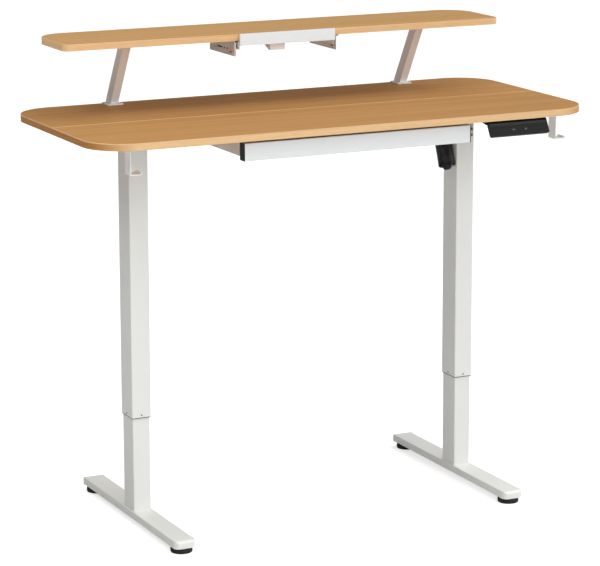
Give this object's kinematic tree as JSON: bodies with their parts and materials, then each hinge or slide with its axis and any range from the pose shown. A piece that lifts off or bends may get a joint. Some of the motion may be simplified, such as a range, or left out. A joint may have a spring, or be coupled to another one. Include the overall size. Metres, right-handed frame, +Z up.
{
  "type": "height adjustable standing desk",
  "caption": "Standing desk on two telescoping electric columns, with a split laminate top, a raised monitor shelf, a pull-out drawer and a shelf drawer.",
  "frame": {"origin": "on the floor, under the middle of the bounding box", "axes": "+X along the width to the right as seen from the front, +Y to the rear, +Z up; the front faces -Y"},
  "size_m": [1.4, 0.656, 1.258],
  "materials": {
    "laminate": "fine straight oak grain, satin",
    "edge_band": "light wood-coloured edge strip, satin",
    "white_steel": "white powder coat, fine orange peel",
    "drawer_steel": "cool white powder coat, smooth",
    "zinc": "zinc plated sheet, dull",
    "steel": "bright turned steel",
    "black_plastic": "black, fine moulded texture",
    "motor_paint": "charcoal paint, semi-matt",
    "nylon": "dark nylon, matt",
    "cast_housing": "dark die-cast housing",
    "rubber_glide": "black, matt"
  },
  "bodies": {
    "base_right": {"foot_bar_right": "white_steel", "foot_caps_right": "white_steel", "glides_right": "rubber_glide", "column_inner_right": "white_steel", "drive_nut_right": "nylon", "glide_collar_right": "nylon", "base_plate_right": "zinc"},
    "top": {"tabletop_front": "laminate", "tabletop_rear": "laminate", "tabletop_edge_band": "edge_band", "tabletop_screws": "zinc", "riser_shelf": "laminate", "riser_edge_band": "edge_band", "riser_legs": "white_steel", "riser_plates": "white_steel", "riser_bracket_left": "zinc", "riser_bracket_right": "zinc", "riser_slide_outer": "zinc", "drawer_slide_outer": "zinc", "drawer_bracket_left": "zinc", "drawer_bracket_right": "zinc", "column_outer_left": "white_steel", "column_outer_right": "white_steel", "guide_bushes": "nylon", "side_bracket_left": "white_steel", "side_bracket_right": "white_steel", "frame_rails": "white_steel", "gearbox_left": "cast_housing", "gearbox_right": "cast_housing", "motor_gearbox": "cast_housing", "motor_body": "motor_paint", "motor_cap": "black_plastic", "control_box": "black_plastic", "panel_holder": "black_plastic", "panel_housing": "black_plastic", "headphone_hooks": "white_steel"},
    "base_left": {"foot_bar_left": "white_steel", "foot_caps_left": "white_steel", "glides_left": "rubber_glide", "column_inner_left": "white_steel", "drive_nut_left": "nylon", "glide_collar_left": "nylon", "base_plate_left": "zinc"},
    "screw_right": {"lead_screw_right": "steel", "screw_gear_right": "zinc"},
    "screw_left": {"lead_screw_left": "steel", "screw_gear_left": "zinc"},
    "drive_shaft": {"hex_shaft": "steel", "shaft_pinions": "zinc"},
    "main_drawer": {"drawer_front": "drawer_steel", "drawer_end_caps": "black_plastic", "drawer_tray": "drawer_steel", "drawer_slide_inner": "zinc"},
    "slide_middle": {"drawer_slide_middle": "steel"},
    "shelf_drawer": {"riser_drawer_front": "drawer_steel", "riser_drawer_tray": "drawer_steel", "riser_slide_inner": "steel", "riser_drawer_pull": "white_steel"},
    "up_key": {"key_up": "black_plastic"},
    "down_key": {"key_down": "black_plastic"}
  },
  "joints": [
    {"name": "lift", "type": "slide", "parent": "base_right", "child": "top", "axis": [0, 0, 1], "range_m": [-0.235, 0.16]},
    {"name": "lift_left", "type": "slide", "parent": "top", "child": "base_left", "axis": [0, 0, -1], "range_m": [-0.235, 0.16]},
    {"name": "screw_right_turn", "type": "hinge", "parent": "top", "child": "screw_right", "pos_m": [0.477, 0.012, 0.9], "axis": [0, 0, 1], "range_deg": [-8480, 5780]},
    {"name": "screw_left_turn", "type": "hinge", "parent": "top", "child": "screw_left", "pos_m": [-0.477, 0.012, 0.9], "axis": [0, 0, 1], "range_deg": [-8480, 5780]},
    {"name": "shaft_turn", "type": "hinge", "parent": "top", "child": "drive_shaft", "pos_m": [0, 0.012, 1.02], "axis": [1, 0, 0], "range_deg": [-8480, 5780]},
    {"name": "drawer_slide", "type": "slide", "parent": "top", "child": "main_drawer", "axis": [0, -1, 0], "range_m": [0, 0.16]},
    {"name": "slide_middle_slide", "type": "slide", "parent": "top", "child": "slide_middle", "axis": [0, -1, 0], "range_m": [0, 0.08]},
    {"name": "shelf_drawer_slide", "type": "slide", "parent": "top", "child": "shelf_drawer", "axis": [0, -1, 0], "range_m": [0, 0.09]},
    {"name": "up_key_press", "type": "slide", "parent": "top", "child": "up_key", "axis": [0, 0.8746, -0.4848], "range_m": [0, 0.0008], "stiffness_N_per_m": 500},
    {"name": "down_key_press", "type": "slide", "parent": "top", "child": "down_key", "axis": [0, 0.8746, -0.4848], "range_m": [0, 0.0008], "stiffness_N_per_m": 500}
  ],
  "couplings": [
    {"joint": "lift_left", "follows": "lift", "ratio": 1},
    {"joint": "screw_right_turn", "follows": "lift", "rad_per_m": 628.32},
    {"joint": "screw_left_turn", "follows": "lift", "rad_per_m": 628.32},
    {"joint": "shaft_turn", "follows": "lift", "rad_per_m": 628.32},
    {"joint": "slide_middle_slide", "follows": "drawer_slide", "ratio": 0.5}
  ]
}
